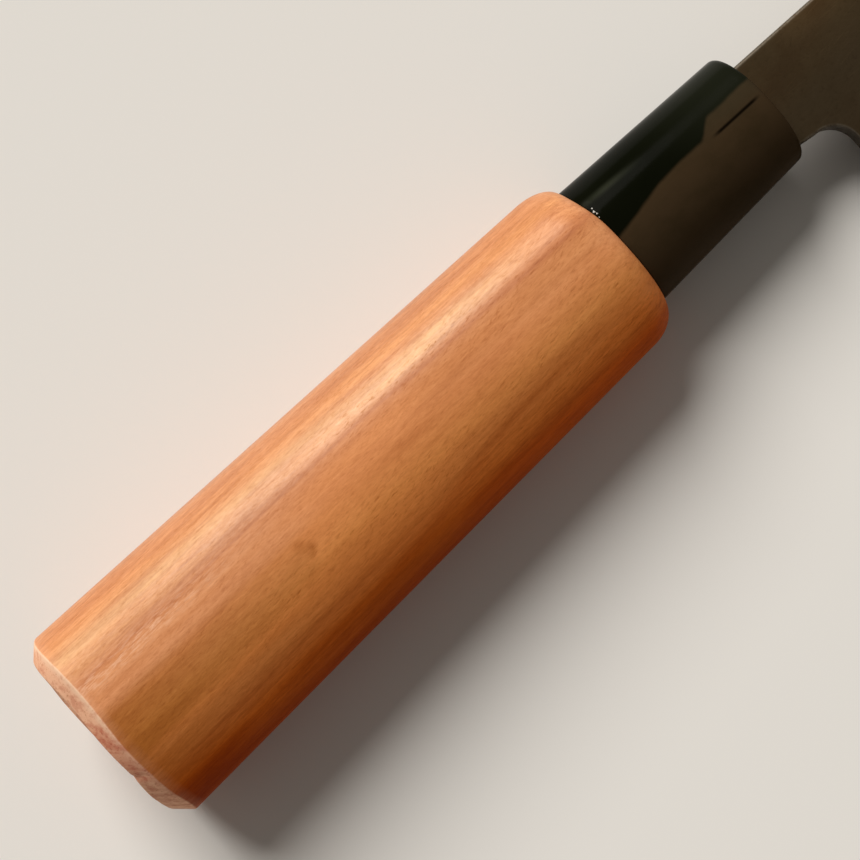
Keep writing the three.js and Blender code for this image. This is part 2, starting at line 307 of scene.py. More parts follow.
def mix(tree, share, first, second, blend="MIX"):
    """One colour laid over another by a share."""
    inputs = {0: share, 6: first, 7: second}
    return node(tree, "ShaderNodeMix", inputs, data_type="RGBA", blend_type=blend).outputs[2]


def stain(tree, colour, share, factor):
    """A colour multiplied by a factor, by a share."""
    return mix(tree, share, colour, (*factor, 1), "MULTIPLY")


def shaded(tree, colour, value, edge, factor):
    """A colour multiplied by a factor where the value has passed the edge, a smooth step."""
    return stain(tree, colour, step(tree, value, *edge), factor)


def tones(tree, value, stops):
    """A colour that runs through the stops, each a place from 0 to 1 and its colour."""
    made = node(tree, "ShaderNodeValToRGB", {"Fac": value})
    run = made.color_ramp.elements
    run[0].position, run[1].position = stops[0][0], stops[-1][0]
    for place_on_run, colour in stops[1:-1]:
        run.new(place_on_run)
    for element, stop in zip(run, stops):
        element.color = (*stop[1], 1)
    return made.outputs["Color"]


def start_material(name):
    """A new material with its node tree and its Principled shader."""
    material = bpy.data.materials.new(name)
    material.use_nodes = True
    return material, material.node_tree, material.node_tree.nodes["Principled BSDF"]


def finish_material(tree, shader, colour, roughness, height, bump):
    """Links colour and roughness to the shader, and the height through a bump of that depth in metres."""
    tree.links.new(colour, shader.inputs["Base Color"])
    tree.links.new(roughness, shader.inputs["Roughness"])
    relief = node(tree, "ShaderNodeBump", {"Strength": 1.0, "Distance": bump, "Height": height})
    tree.links.new(relief.outputs[0], shader.inputs["Normal"])


def on_knife(tree):
    """The kept knife place in millimetres, and its three coordinates: to the tip, to the spine, out."""
    place = node(tree, "ShaderNodeAttribute", {}, attribute_name="knife_place").outputs["Vector"]
    split = node(tree, "ShaderNodeSeparateXYZ", {0: place})
    return place, *split.outputs


def kept(tree, name):
    """A number that was kept for each point under that name."""
    return node(tree, "ShaderNodeAttribute", {}, attribute_name=name).outputs["Fac"]


def turned(tree, place, lean):
    """A place turned by the lean about the knife's out axis."""
    return node(tree, "ShaderNodeMapping", {"Vector": place, "Rotation": (0.0, 0.0, lean)}).outputs[0]


# Tones by place, from the belly at 0 to the spine at 1. Each drift of colour fades in along the grip from
# its first place to its second, lies between two shares of the half height, and has its own factor.
# Darker and redder towards the belly: partly the wood's redder heartwood, partly painted shade
WOOD_TONES = (
    (0.02, (0.36, 0.054, 0.003)),
    (0.14, (0.70, 0.150, 0.015)),
    (0.26, (0.79, 0.248, 0.056)),
    (0.42, (0.75, 0.278, 0.076)),
    (0.62, (0.76, 0.303, 0.118)),
    (0.80, (0.73, 0.300, 0.118)),
    (1.00, (0.64, 0.26, 0.10)),
)
COLOUR_DRIFTS = (
    # Next six: paler, yellower over the ridge and facet above; partly wood tone, partly painted highlight
    ((-52, -64), (0.83, 0.88), (1.05, 1.09, 1.05)),
    ((-74, -50), (0.77, 0.86), (1.12, 1.19, 1.14)),
    ((-88, -98), (0.72, 0.84), (1.03, 1.10, 1.19)),
    ((-55, -80), (0.70, 0.82), (1.03, 1.14, 1.22)),
    ((-60, -72), (0.68, 0.76), (1.05, 1.19, 1.13)),
    ((-62, -76), (0.59, 0.66), (1.00, 1.00, 0.66)),
    ((-66, -82), (0.49, 0.65), (0.87, 0.85, 0.81)),
    ((-46, -36), (0.44, 0.51), (0.93, 0.88, 0.87)),
    ((-64, -52), (0.16, 0.46), (0.90, 0.89, 0.88)),
    # Paler and pinker under the ridge near the butt: partly wood tone, partly painted sheen
    ((-72, -86), (0.15, 0.44), (1.00, 1.09, 1.27)),
    ((-46, -36), (-0.50, 0.42), (1.02, 1.06, 1.09)),
    ((-70, -76), (-0.18, 0.02), (1.05, 1.07, 1.10)),
    ((-75, -95), (-0.56, -0.36), (0.91, 0.94, 1.00)),
    ((-84, -56), (-0.70, -0.53), (1.16, 1.14, 1.03)),
    ((-56, -66), (-0.68, -0.55), (1.01, 1.06, 1.20)),
    ((-98, -112), (-0.95, -0.40), (0.87, 0.80, 0.64)),
    ((-95, -107), (-0.95, -0.72), (0.80, 0.62, 0.34)),
    ((-68, -58), (-0.95, -0.73), (0.93, 0.79, 0.65)),
)
DRIFT_SOFT = 0.06
TONE_SPREAD = 0.5
TONE_MIDDLE = 0.46
LIMIT_GRAIN = ((0.016, 0.09, 0.09), 2, 0.5)
LIMIT_WANDER = 0.16
LIFT_ALONG = (-74, -42)
LIFT = 0.10
RIGHT_SIDE = (0, 4)
DULL_ALONG = (-70, -92)
DULL_ACROSS = (0.55, 0.60, 0.05)
DULL_TINT = (0.90, 0.87, 0.84)
# A golden tint along the front half of the ridge's crest on the right face: painted highlight
HIGHLIGHT_TINT_ALONG = (-66, -40, 10)
HIGHLIGHT_TINT_ACROSS = (0.56, 0.72, 0.06)
PAINTED_HIGHLIGHT_TINT = (1.06, 1.26, 1.14)

wood, tree, shader = start_material("oiled_wood")
place, along, across, out = on_knife(tree)
half_height = taper(tree, along, (taper_start, shoulder_x), (BUTT_HEIGHT / 2, SHOULDER_HEIGHT / 2))
spine_share = reckon(tree, "DIVIDE", across, half_height)
on_right = step(tree, out, *RIGHT_SIDE)
wander = noise(tree, place, *LIMIT_GRAIN)
limit = scaled(tree, wander, LIMIT_WANDER, spine_share)
lifted = scaled(tree, step(tree, along, *LIFT_ALONG), LIFT, limit)
colour = tones(tree, scaled(tree, lifted, TONE_SPREAD, TONE_MIDDLE), WOOD_TONES)
for reach_along, reach_across, factor in COLOUR_DRIFTS:
    patch = stripe(tree, spine_share, *reach_across, DRIFT_SOFT)
    patch = product(tree, patch, step(tree, along, *reach_along), on_right)
    colour = stain(tree, colour, patch, factor)
dull = product(tree, stripe(tree, spine_share, *DULL_ACROSS), step(tree, along, *DULL_ALONG))
colour = stain(tree, colour, product(tree, dull, on_right), DULL_TINT)
# Painted highlight: the crest is tinted golden where the highlight lies
painted_highlight = product(tree, stripe(tree, spine_share, *HIGHLIGHT_TINT_ACROSS), stripe(tree, along, *HIGHLIGHT_TINT_ALONG), on_right)
colour = stain(tree, colour, painted_highlight, PAINTED_HIGHLIGHT_TINT)

# Growth rings, cut at a slant, so that they close in a curl on the right face, with a dark heart
CURL_AT = (-80.5, -0.4)
CURL_SLOPE = 0.44
CURL_LEAN = -0.03
RING_WANDER = 24
RING_DEPTH = 63
RING_LEAN = -3
RING_LEAST = 0.01
GROWTH_GRAIN = ((0.8, 0.012, 0.03), 3, 0.55)
GROWTH_DARK = ((0.52, 0.34), (0.92, 0.88, 0.84))
GROWTH_PALE = ((0.52, 0.70), (1.03, 1.04, 1.05))
RIPPLE_GRAIN = ((0.05, 0.42, 0.42), 5, 0.65)
RIPPLE = 15
HEART_EDGE = (11, -7)
HEART_ALONG = (1.2, -2.4)
HEART_TINT = (0.71, 0.68, 0.61)
HEART_BUTT = (-96, -110)
HEART_BUTT_TINT = (0.89, 0.84, 0.69)

to_curl = reckon(tree, "SUBTRACT", along, CURL_AT[0])
aside = scaled(tree, to_curl, CURL_LEAN, reckon(tree, "SUBTRACT", across, CURL_AT[1]))
curl_square = scaled(tree, to_curl, CURL_SLOPE, product(tree, aside, aside))
ring_square = scaled(tree, wander, RING_WANDER, curl_square)
ring_square = reckon(tree, "ADD", ring_square, scaled(tree, out, RING_LEAN, RING_DEPTH))
ring = reckon(tree, "SQRT", reckon(tree, "MAXIMUM", ring_square, RING_LEAST))
ring_place = node(tree, "ShaderNodeCombineXYZ", {0: ring, 1: along, 2: out}).outputs[0]
growth = noise(tree, ring_place, *GROWTH_GRAIN)
colour = shaded(tree, colour, growth, *GROWTH_DARK)
colour = shaded(tree, colour, growth, *GROWTH_PALE)
ripple = scaled(tree, noise(tree, place, *RIPPLE_GRAIN), 2 * RIPPLE, -RIPPLE)
heart = step(tree, reckon(tree, "ADD", curl_square, ripple), *HEART_EDGE)
heart = product(tree, heart, step(tree, to_curl, *HEART_ALONG), on_right)
colour = stain(tree, colour, heart, HEART_TINT)
colour = stain(tree, colour, product(tree, heart, step(tree, along, *HEART_BUTT)), HEART_BUTT_TINT)

# The curl's bent hook, which lies across the grain at an eighth of a turn, and the shade beside it
EIGHTH_TURN = 0.707
WOBBLE_GRAIN = ((0.6, 0.8, 0.8), 3, 0.6)
WOBBLE = 0.7
HOOK_BEND = 0.15
HOOK_WIDTH = (-0.40, 0.40, 0.50)
HOOK_LENGTH = (-0.9, 0.9, 0.8)
HOOK_TINT = (0.74, 0.67, 0.57)
SHADE_TURN = (0.48, 0.87)
SHADE_WIDTH = (-0.75, 0.55, 0.70)
SHADE_LENGTH = (0.3, 2.4, 0.8)
SHADE_TINT = (0.85, 0.81, 0.74)

wobble = scaled(tree, noise(tree, place, *WOBBLE_GRAIN), 2 * WOBBLE, -WOBBLE)
hook_along = product(tree, reckon(tree, "ADD", to_curl, aside), EIGHTH_TURN)
hook_aside = product(tree, reckon(tree, "SUBTRACT", to_curl, aside), EIGHTH_TURN)
hook_bend = scaled(tree, product(tree, hook_along, hook_along), HOOK_BEND, wobble)
hook = stripe(tree, reckon(tree, "ADD", hook_aside, hook_bend), *HOOK_WIDTH)
hook = product(tree, hook, stripe(tree, hook_along, *HOOK_LENGTH), on_right)
colour = stain(tree, colour, hook, HOOK_TINT)
shade_along = scaled(tree, to_curl, -SHADE_TURN[0], product(tree, aside, SHADE_TURN[1]))
shade_aside = scaled(tree, to_curl, SHADE_TURN[1], product(tree, aside, SHADE_TURN[0]))
shade = stripe(tree, reckon(tree, "ADD", shade_aside, wobble), *SHADE_WIDTH)
shade = product(tree, shade, stripe(tree, shade_along, *SHADE_LENGTH), on_right)
colour = stain(tree, colour, shade, SHADE_TINT)

# A dark flame that climbs from the belly towards the collar
FLAME_ALONG = (-82, -47)
FLAME_CLIMB = (-0.74, -0.45)
FLAME_BAND = (0.03, 0.11, 0.07)
FLAME_FADE = (-88, -60)
FLAME_TINT = (0.88, 0.78, 0.68)

climb = between(tree, step(tree, along, *FLAME_ALONG), *FLAME_CLIMB)
flame = stripe(tree, reckon(tree, "SUBTRACT", limit, climb), *FLAME_BAND)
colour = stain(tree, colour, product(tree, flame, step(tree, along, *FLAME_FADE)), FLAME_TINT)

# Long soft streaks, drawn lines that are calm about the curl and bold at ridge and belly, fibres and glints
STREAK_GRAIN = ((0.014, 0.36, 0.36), 3, 0.5)
STREAK_DARK = ((0.52, 0.30), (0.92, 0.89, 0.88))
STREAK_PALE = ((0.52, 0.74), (1.03, 1.05, 1.07))
LINE_GRAIN = ((0.085, 1.15, 1.15), 5, 0.72)
LINE_DARK_EDGE = (0.56, 0.32)
LINE_DARK = (0.88, 0.83, 0.80)
LINE_PALE_EDGE = (0.48, 0.70)
LINE_PALE = (1.05, 1.09, 1.14)
CALM_ALONG = (-82, -62, 8)
CALM = 0.55
BOLD_ABOVE = (0.44, 0.62)
BOLD_BELOW = (-0.42, -0.62)
BOLD_RANGE = (0.8, 1.6)
FIBRE_GRAIN = ((0.8, 4.2, 4.2), 4, 0.65)
FIBRE_DARK = ((0.56, 0.30), (0.91, 0.88, 0.86))
GLINT_GRAIN = ((0.7, 2.8, 2.8), 5, 0.75)
GLINT_DARK = ((0.50, 0.30), (0.87, 0.82, 0.80))
GLINT_PALE = ((0.50, 0.70), (1.07, 1.10, 1.13))

streaks = noise(tree, place, *STREAK_GRAIN)
colour = shaded(tree, colour, streaks, *STREAK_DARK)
colour = shaded(tree, colour, streaks, *STREAK_PALE)
calm = between(tree, stripe(tree, along, *CALM_ALONG), 1, CALM)
bold = reckon(tree, "MAXIMUM", step(tree, spine_share, *BOLD_ABOVE), step(tree, spine_share, *BOLD_BELOW))
drawn = product(tree, calm, between(tree, bold, *BOLD_RANGE))
lines = noise(tree, place, *LINE_GRAIN)
colour = stain(tree, colour, product(tree, step(tree, lines, *LINE_DARK_EDGE), drawn), LINE_DARK)
colour = stain(tree, colour, product(tree, step(tree, lines, *LINE_PALE_EDGE), drawn), LINE_PALE)
fibres = noise(tree, place, *FIBRE_GRAIN)
colour = shaded(tree, colour, fibres, *FIBRE_DARK)
glints = noise(tree, place, *GLINT_GRAIN)
colour = shaded(tree, colour, glints, *GLINT_DARK)
colour = shaded(tree, colour, glints, *GLINT_PALE)

# Flecks, pores and vessels in crowds, which lie a little across the grain
FLECK_LEAN = -0.2
CROWD_GRAIN = ((0.05, 0.16, 0.16), 3, 0.6)
CROWD_EDGE = (0.36, 0.64)
CROWD_ALONG = (-104, -76)
CROWD_AT_BUTT = 0.4
CROWD_ENDS = (0.56, 0.68)
CROWD_ABOVE = 0.5
FLECK_GRAIN = ((0.9, 3.4, 3.4), 2, 0.6)
FLECK_EDGE = (0.54, 0.72)
FLECK_TINT = (0.81, 0.74, 0.68)
FLECK_LEAST = 0.25
PORE_GRAIN = ((0.6, 4.4, 4.4), 1, 0.4)
PORE_EDGE = (0.68, 0.78)
PORE_TINT = (0.76, 0.68, 0.60)
VESSEL_GRAIN = ((0.42, 1.9, 1.9), 2, 0.5)
VESSEL_EDGE = (0.66, 0.76)
VESSEL_TINT = (0.80, 0.72, 0.64)

slanted = turned(tree, place, FLECK_LEAN)
crowd = product(
    tree,
    step(tree, noise(tree, place, *CROWD_GRAIN), *CROWD_EDGE),
    between(tree, step(tree, along, *CROWD_ALONG), CROWD_AT_BUTT, 1),
    between(tree, step(tree, spine_share, *CROWD_ENDS), 1, CROWD_ABOVE),
)
flecks = step(tree, noise(tree, slanted, *FLECK_GRAIN), *FLECK_EDGE)
flecks = product(tree, flecks, between(tree, crowd, FLECK_LEAST, 1))
colour = stain(tree, colour, flecks, FLECK_TINT)
pores = product(tree, step(tree, noise(tree, slanted, *PORE_GRAIN), *PORE_EDGE), crowd)
colour = stain(tree, colour, pores, PORE_TINT)
vessels = product(tree, step(tree, noise(tree, slanted, *VESSEL_GRAIN), *VESSEL_EDGE), crowd)
colour = stain(tree, colour, vessels, VESSEL_TINT)

# Pale streaks under the ridge near the butt, partly the wood's ray flecks and partly painted sheen, and a
# thin darker line along the ridge's foot, which is painted shade
SILK_ACROSS = (0.36, 0.50, 0.06)
SILK_ALONG = (-80, -104)
SILK_GRAIN = ((0.55, 4.2, 4.2), 4, 0.65)
SILK_EDGE = (0.43, 0.66)
SILK_SHARE = 0.62
# Pale colour of the streaks: partly the wood's ray flecks, partly painted sheen
SILK_SHEEN_COLOUR = (0.90, 0.53, 0.345, 1)
FOOT_ALONG = (-66, -54)
FOOT_SHIFT = 0.05
FOOT_ACROSS = (0.565, 0.585, 0.025)
# Darkening of the painted shade at the ridge's foot
FOOT_SHADE_TINT = (0.82, 0.74, 0.72)

# Pale streaks, partly the wood's ray flecks and partly painted sheen
silk_sheen = step(tree, noise(tree, place, *SILK_GRAIN), *SILK_EDGE)
silk_sheen = product(tree, silk_sheen, stripe(tree, spine_share, *SILK_ACROSS), step(tree, along, *SILK_ALONG))
colour = mix(tree, product(tree, silk_sheen, on_right, SILK_SHARE), colour, SILK_SHEEN_COLOUR)
# Painted shade: a thin darker line where the ridge's crest falls away to the face below
foot_height = scaled(tree, step(tree, along, *FOOT_ALONG), FOOT_SHIFT, limit)
foot_shade = product(tree, stripe(tree, foot_height, *FOOT_ACROSS), on_right)
colour = stain(tree, colour, foot_shade, FOOT_SHADE_TINT)

# End grain on butt and chamfer: pale, with arcs of growth rings, reddish clouds, open pores and a cut rim
END_GRAIN_PALE = (0.88, 0.50, 0.32, 1)
END_GRAIN_RED = (0.60, 0.21, 0.125, 1)
PITH_AT = (-26.0, -21.0)
ARC_WANDER = 5
ARC_GRAIN = ((0.9, 0.05, 0.05), 3, 0.6)
ARC_EDGE = (0.42, 0.66)
ARC_SHARE = 0.45
CLOUD_GRAIN = ((0.7, 0.9, 0.9), 4, 0.7)
CLOUD_EDGE = (0.44, 0.66)
CLOUD_SHARE = 0.55
RED_ACROSS = (-0.45, 0.10, 0.15)
RED_SHARE = 0.35
END_PORE_GRAIN = ((1.2, 3.6, 3.6), 2, 0.5)
END_PORE_EDGE = (0.58, 0.7)
END_PORE_TINT = (0.80, 0.70, 0.63)
CUT_RIM = (0.92, 0.62, 0.43, 1)
CUT_RIM_EDGE = (0.5, 1.0)
CUT_RIM_CLOUDS = (0.9, 0.4)
CUT_RIM_ACROSS = (-0.6, 0.4)

end_grain = kept(tree, "end_grain")
from_pith = reckon(tree, "SUBTRACT", across, PITH_AT[0])
pith_depth = reckon(tree, "SUBTRACT", out, PITH_AT[1])
pith_square = scaled(tree, from_pith, from_pith, product(tree, pith_depth, pith_depth))
arc = scaled(tree, wander, ARC_WANDER, reckon(tree, "SQRT", pith_square))
arc_place = node(tree, "ShaderNodeCombineXYZ", {0: arc, 1: across, 2: out}).outputs[0]
arcs = step(tree, noise(tree, arc_place, *ARC_GRAIN), *ARC_EDGE)
clouds = step(tree, noise(tree, place, *CLOUD_GRAIN), *CLOUD_EDGE)
red = scaled(tree, arcs, ARC_SHARE, product(tree, clouds, CLOUD_SHARE))
red = scaled(tree, stripe(tree, spine_share, *RED_ACROSS), RED_SHARE, red)
end_colour = mix(tree, red, END_GRAIN_PALE, END_GRAIN_RED)
end_pores = step(tree, noise(tree, place, *END_PORE_GRAIN), *END_PORE_EDGE)
end_colour = stain(tree, end_colour, end_pores, END_PORE_TINT)
cut_rim = product(
    tree,
    step(tree, kept(tree, "butt_rim"), *CUT_RIM_EDGE),
    between(tree, clouds, *CUT_RIM_CLOUDS),
    step(tree, spine_share, *CUT_RIM_ACROSS),
)
end_colour = mix(tree, cut_rim, end_colour, CUT_RIM)
colour = mix(tree, end_grain, colour, end_colour)

# The oil's soft coat, above the ridge and on the left side, thinner at both ends and broken by the grain
GRIP_BUMP = 0.00003
PORE_DEPTH = -0.3
WOOD_ROUGHNESS = (0.28, 0.44)
PORE_ROUGHNESS = 0.15
END_GRAIN_ROUGHNESS = 0.25
COAT_LEVEL = 0.8
COAT_ROUGHNESS = 0.45
COAT_LEFT = 0.5
LEFT_SIDE = (2, -4)
COAT_ACROSS = (0.28, 0.60)
COAT_FROM_BUTT = (-108, -84)
BUTT_COAT = (0.8, 1.18)
COAT_TO_SHOULDER = (-50, -34)
SHOULDER_COAT = -0.45
DULL_COAT = (1, 0.6)
GLINT_RANGE = (0.36, 0.64)
GLINT_COAT = (0.72, 1.28)
FLECK_COAT = (1.1, 0.3)
WOOD_SPECULAR = 0.01

roughness = scaled(tree, pores, PORE_ROUGHNESS, between(tree, fibres, *WOOD_ROUGHNESS))
roughness = scaled(tree, end_grain, END_GRAIN_ROUGHNESS, roughness)
relief = scaled(tree, pores, PORE_DEPTH, fibres)
finish_material(tree, shader, colour, roughness, relief, GRIP_BUMP)
coat_left = product(tree, step(tree, out, *LEFT_SIDE), COAT_LEFT)
coat_along = between(tree, step(tree, along, *COAT_FROM_BUTT), *BUTT_COAT)
coat_along = scaled(tree, step(tree, along, *COAT_TO_SHOULDER), SHOULDER_COAT, coat_along)
coat = product(
    tree,
    reckon(tree, "MAXIMUM", coat_left, step(tree, spine_share, *COAT_ACROSS)),
    COAT_LEVEL,
    coat_along,
    between(tree, dull, *DULL_COAT),
    taper(tree, glints, GLINT_RANGE, GLINT_COAT),
    between(tree, flecks, *FLECK_COAT),
    between(tree, end_grain, 1, 0),
)
tree.links.new(coat, shader.inputs["Coat Weight"])
shader.inputs["Coat Roughness"].default_value = COAT_ROUGHNESS
shader.inputs["Specular IOR Level"].default_value = WOOD_SPECULAR
grip.data.materials.append(wood)
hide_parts("grip")
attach(grip, "root")

# Collar
# A moulded ring of glossy black plastic, tapered and rounded at its mouth, with a brown reflection painted
# on its crown. It is pushed over the grip's tenon against the shoulder and held by glue.
COLLAR_ROUND = 0.9
COLLAR_SEAM = 0.08
COLLAR_CREASE = 40
BACK_EDGE = (0.0, 0.05, 0.15)
SIDE_MARGINS = (1.0, 0.4)
SIDE_ROWS = 14
MOUTH_ROWS = 12

back_x = seam_x + COLLAR_SEAM
back_edge = np.array(BACK_EDGE)[:, None]
side_x = np.linspace(shoulder_x + SIDE_MARGINS[0], -COLLAR_ROUND - SIDE_MARGINS[1], SIDE_ROWS)
mouth_turn = np.linspace(0, np.pi / 2, MOUTH_ROWS)[:, None]
mouth_x = COLLAR_ROUND * (np.sin(mouth_turn) - 1)
collar_rows = [
    collar_rings(back_x[None], COLLAR_WALL, 0),
    collar_rings(back_x + back_edge, back_edge[::-1], COLLAR_RIDGE),
    collar_rings(side_x[:, None], 0, COLLAR_RIDGE),
    collar_rings(mouth_x, COLLAR_ROUND * (1 - np.cos(mouth_turn)), COLLAR_RIDGE),
    collar_rings(np.array([[0.0]]), COLLAR_WALL, 0),
]
collar = skin("moulded_collar", np.vstack(collar_rows), True, COLLAR_CREASE)

# A painted brown reflection that rises in two steps, a streak and a haze of painted sheen above it,
# and a short scored line
COLLAR_BLACK = (0.0036, 0.0042, 0.0018, 1)
# Brown of the painted reflection
COLLAR_REFLECTION_BROWN = (0.0455, 0.0285, 0.0142, 1)
# Paler grey of the painted sheen
COLLAR_PAINTED_SHEEN = (0.030, 0.033, 0.021, 1)
REFLECTION_LIMIT = 0.05
REFLECTION_STEPS = (((-27, -15), 0.17), ((-10.6, -7.2), 0.21))
REFLECTION_EDGE = (-0.02, 0.05)
RAGGED_GRAIN = ((0.3, 0.3, 0.3), 3, 0.5)
RAGGED = 0.06
COLLAR_SMUDGE_TINT = (0.82, 0.84, 0.80)
SHEEN_STREAK_LEAN = 0.004
SHEEN_STREAK_ACROSS = (0.55, 0.60, 0.05)
SHEEN_STREAK_ALONG = (-26, -20, 4)
SHEEN_HAZE_ALONG = (-18, -2)
SHEEN_HAZE_ACROSS = (0.05, 0.35)
SHEEN_HAZE_SHARE = 0.24
SCORE_LEAN = 0.002
SCORE_ACROSS = (0.130, 0.176, 0.018)
SCORE_ALONG = (-8.3, -1.3, 0.9)
SCORE_TINT = (0.12, 0.12, 0.12)
PLASTIC_ROUGHNESS = (0.16, 0.24)
HAIRLINE_ROUGHNESS = 0.10
HAIRLINE_DEPTH = -0.08
SCORE_DEPTH = -1.0
COLLAR_BUMP = 0.00002
EDGE_GLOSS_ALONG = (-20, -4)
EDGE_GLOSS = (0.17, 0.26)
EDGE_GLOSS_ACROSS = (0.68, 0.98)
BACK_GLOSS_ALONG = (-8, -20)
BACK_GLOSS = 0.010
LEFT_GLOSS_OUT = (3, -2)
LEFT_GLOSS = 0.22
GLOSS_ROUGHNESS = 0.16
PLASTIC_SPECULAR = 0.004
SMUDGE_GRAIN = ((0.16, 0.22, 0.22), 4, 0.65)
SMUDGE_EDGE = (0.38, 0.68)
HAIRLINE_GRAIN = ((0.11, 9.0, 9.0), 1, 0.4)
HAIRLINE_EDGE = (0.70, 0.78)
HAIRLINE_LEANS = (0.06, -0.11)


def handling_group():
    """Marks of use as a node group: smudges are soft blots, and hairlines are the crests of two noises,
    stretched the long way and turned a little against each other."""
    group = bpy.data.node_groups.new("handling_marks", "ShaderNodeTree")
    group.interface.new_socket("Place", in_out="INPUT", socket_type="NodeSocketVector")
    group.interface.new_socket("Smudges", in_out="OUTPUT", socket_type="NodeSocketFloat")
    group.interface.new_socket("Hairlines", in_out="OUTPUT", socket_type="NodeSocketFloat")
    given = group.nodes.new("NodeGroupInput").outputs[0]
    blots = step(group, noise(group, given, *SMUDGE_GRAIN), *SMUDGE_EDGE)
    crests = []
    for lean in HAIRLINE_LEANS:
        crests.append(step(group, noise(group, turned(group, given, lean), *HAIRLINE_GRAIN), *HAIRLINE_EDGE))
    results = group.nodes.new("NodeGroupOutput")
    group.links.new(blots, results.inputs["Smudges"])
    group.links.new(reckon(group, "MAXIMUM", *crests), results.inputs["Hairlines"])
    return group


handling_marks = handling_group()


def handling(tree, place):
    """The smudges and hairlines at a place."""
    marks = node(tree, "ShaderNodeGroup", {}, node_tree=handling_marks)
    tree.links.new(place, marks.inputs["Place"])
    return marks.outputs["Smudges"], marks.outputs["Hairlines"]


plastic, tree, shader = start_material("black_plastic")
place, along, across, out = on_knife(tree)
smudges, hairlines = handling(tree, place)
collar_half = taper(tree, along, (shoulder_x, 0.0), (COLLAR_BACK[0] / 2, COLLAR_FRONT[0] / 2))
collar_share = reckon(tree, "DIVIDE", reckon(tree, "SUBTRACT", across, COLLAR_RISE), collar_half)
# Painted reflection: brown below a ragged line that rises in two steps towards the mouth
reflection_limit = scaled(tree, noise(tree, place, *RAGGED_GRAIN), RAGGED, REFLECTION_LIMIT)
for reach_along, rise in REFLECTION_STEPS:
    reflection_limit = scaled(tree, step(tree, along, *reach_along), rise, reflection_limit)
painted_reflection = step(tree, reckon(tree, "SUBTRACT", reflection_limit, collar_share), *REFLECTION_EDGE)
colour = mix(tree, painted_reflection, COLLAR_BLACK, COLLAR_REFLECTION_BROWN)
colour = stain(tree, colour, smudges, COLLAR_SMUDGE_TINT)
# Painted sheen: a paler streak near the back and a paler haze towards the mouth, above the brown
sheen_streak = stripe(tree, scaled(tree, along, SHEEN_STREAK_LEAN, collar_share), *SHEEN_STREAK_ACROSS)
sheen_streak = product(tree, sheen_streak, stripe(tree, along, *SHEEN_STREAK_ALONG))
colour = mix(tree, sheen_streak, colour, COLLAR_PAINTED_SHEEN)
sheen_haze = product(tree, step(tree, along, *SHEEN_HAZE_ALONG), step(tree, collar_share, *SHEEN_HAZE_ACROSS), SHEEN_HAZE_SHARE)
colour = mix(tree, sheen_haze, colour, COLLAR_PAINTED_SHEEN)
score_line = stripe(tree, scaled(tree, along, SCORE_LEAN, collar_share), *SCORE_ACROSS)
score_line = product(tree, score_line, stripe(tree, along, *SCORE_ALONG))
colour = stain(tree, colour, score_line, SCORE_TINT)
roughness = scaled(tree, hairlines, HAIRLINE_ROUGHNESS, between(tree, smudges, *PLASTIC_ROUGHNESS))
relief = scaled(tree, hairlines, HAIRLINE_DEPTH, product(tree, score_line, SCORE_DEPTH))
finish_material(tree, shader, colour, roughness, relief, COLLAR_BUMP)
edge_gloss = between(tree, step(tree, along, *EDGE_GLOSS_ALONG), *EDGE_GLOSS)
gloss = product(tree, step(tree, collar_share, *EDGE_GLOSS_ACROSS), edge_gloss)
gloss = scaled(tree, step(tree, along, *BACK_GLOSS_ALONG), BACK_GLOSS, gloss)
gloss = scaled(tree, step(tree, out, *LEFT_GLOSS_OUT), LEFT_GLOSS, gloss)
tree.links.new(gloss, shader.inputs["Coat Weight"])
shader.inputs["Coat Roughness"].default_value = GLOSS_ROUGHNESS
shader.inputs["Specular IOR Level"].default_value = PLASTIC_SPECULAR
collar.data.materials.append(plastic)
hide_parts("collar")
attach(collar, "root")

# Blade
# One forged piece of steel with its tang: dark forge scale on the flats, eased edges at spine, neck and
# heel, and a bare ground bevel down to the edge, taller on the right side for a right hand. The tang is
# bedded in the grip's slot.
STOCK_HALF = 1.7
TIP_HALF = 0.75
TANG_END_HALF = 1.1
TANG_LENGTH = 78.0
TANG_END_HEIGHT = 4.5
TANG_ROOT_HEIGHT = 7.3
NECK_ABOVE_AXIS = 6.4
NECK_BELOW_AXIS = 6.65
NECK_FLARE = 0.45
NECK_LENGTH = 6.75
NECK_FILLET = 4.0
ROOT_X = 0.06
HEEL_DEPTH = 32.0
BLADE_LENGTH = 150.0
TIP_DEPTH = 15.0
SPINE_SLOPE = np.tan(np.radians(1.8))
SPINE_STRAIGHT = 58.0
SPINE_SWEEP = 42.0
SPINE_TIP_REACH = 36.0
SPINE_TIP_ANGLE = np.radians(17)
EDGE_STRAIGHT = 72.0
EDGE_TIP_REACH = 36.0
EDGE_TIP_ANGLE = np.radians(-23)
EDGE_OFFSET = 0.35
EDGE_HALF = 0.15
RIGHT_BEVEL = 14.0
LEFT_BEVEL = 9.0
HONED = 0.7
HONED_HALF = 0.015
SPINE_EASE = 0.42
NECK_EASE = 0.3
TANG_EASE = 0.1
EASE_LIMIT = 0.2
REACH_LIMIT = 0.3
SLANT_LEAST = 0.3
LINE_MARGINS = (0.05, 0.04)
CURVE_STEPS = 900
TRIAL_STEPS = 500
TANG_ROWS = 24
NECK_ROWS = 14
FILLET_ROWS = 30
HEEL_ROWS = 46
EDGE_ROWS = 271
EDGE_CROWDING = 1.3
SPINE_OVER_NECK = 5
SPINE_OVER_FILLET = 16
SPINE_OVER_HEEL = 55
EASE_ROWS = 7
FLAT_ROWS = 27
BEVEL_ROWS = 19
BLADE_CREASE = 20

heel = np.array([NECK_LENGTH, -HEEL_DEPTH])
tip = np.array([NECK_LENGTH + BLADE_LENGTH, -TIP_DEPTH])


